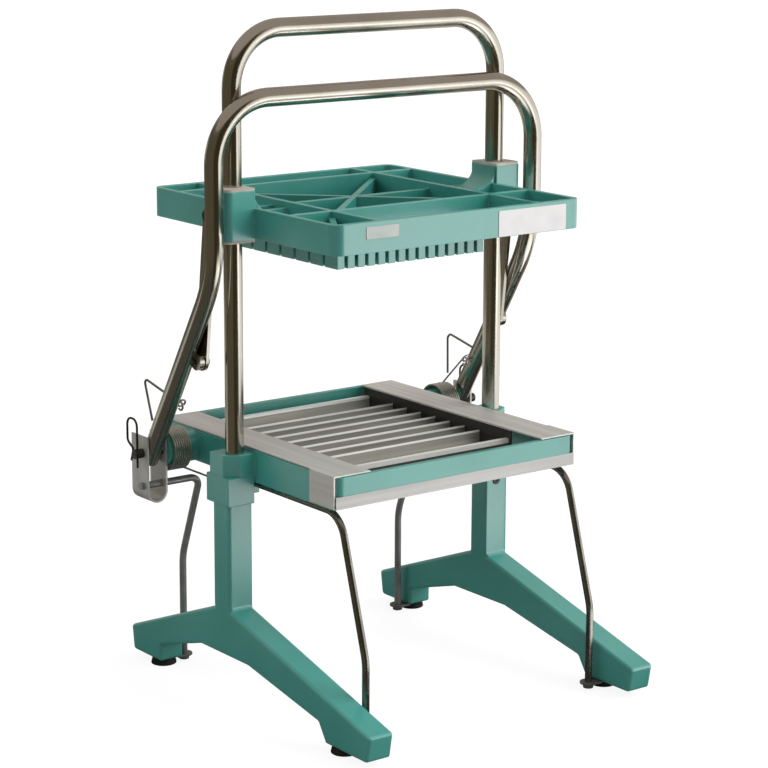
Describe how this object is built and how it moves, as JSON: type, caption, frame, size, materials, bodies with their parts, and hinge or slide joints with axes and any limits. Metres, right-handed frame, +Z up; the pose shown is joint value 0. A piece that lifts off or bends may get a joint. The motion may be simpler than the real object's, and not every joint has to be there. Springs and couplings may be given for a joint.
{
  "type": "lettuce slicer",
  "caption": "Free-standing hand-lever lettuce slicer: a looped handle drives a finger block down guide posts through a row of knives in a cast tray.",
  "frame": {"origin": "on the worktop under the middle of the object's width and depth", "axes": "+X to the right seen from the front, +Y to the rear, +Z up"},
  "size_m": [0.45, 0.433, 0.697],
  "materials": {
    "casting": "teal enamel on a casting",
    "tube": "satin stainless tube",
    "stainless": "satin stainless sheet",
    "knife": "ground stainless blade",
    "dark_steel": "dark plated steel",
    "spring": "drawn spring wire",
    "rod": "dark plain rod",
    "rubber": "black rubber",
    "nylon": "pale nylon"
  },
  "bodies": {
    "frame": {"left_leg": "casting", "right_leg": "casting", "rubber_feet": "rubber", "base_tray": "casting", "front_band": "stainless", "guide_loop": "tube", "post_screws": "dark_steel", "blade_rail_left": "stainless", "blade_rail_right": "stainless", "knives": "knife", "front_bar": "stainless", "back_bar": "stainless", "bracket_left": "stainless", "bracket_right": "stainless", "pivot_pins": "dark_steel", "pin_clips": "dark_steel", "spring_left": "spring", "spring_right": "spring", "front_stay_left": "rod", "front_stay_right": "rod", "rear_stay_left": "rod", "rear_stay_right": "rod", "stay_clips": "rubber"},
    "handle": {"handle_loop": "tube", "spring_eyes": "dark_steel", "latch_wires": "dark_steel", "lower_link_bolts": "dark_steel"},
    "links": {"link_left": "tube", "link_right": "tube", "upper_link_bolts": "dark_steel"},
    "pusher": {"pusher_head": "casting", "finger_block": "casting", "guide_bushings": "nylon"}
  },
  "joints": [
    {"name": "handle_pivot", "type": "hinge", "parent": "frame", "child": "handle", "pos_m": [0, 0.1355, 0.248], "axis": [1, 0, 0], "range_deg": [0, 100], "stiffness_Nm_per_rad": 8, "springref_deg": -68.75, "deforming": ["spring_left", "spring_right"]},
    {"name": "pusher_slide", "type": "slide", "parent": "frame", "child": "pusher", "axis": [0, 0, -1], "range_m": [0, 0.2049]},
    {"name": "link_hinge", "type": "hinge", "parent": "handle", "child": "links", "pos_m": [0, 0.056, 0.3565], "axis": [1, 0, 0], "range_deg": [-105.5, 0]}
  ],
  "couplings": [
    {"joint": "pusher_slide", "follows": "handle_pivot", "m_per_rad": 0.11726},
    {"joint": "link_hinge", "follows": "handle_pivot", "ratio": -1.0517}
  ]
}
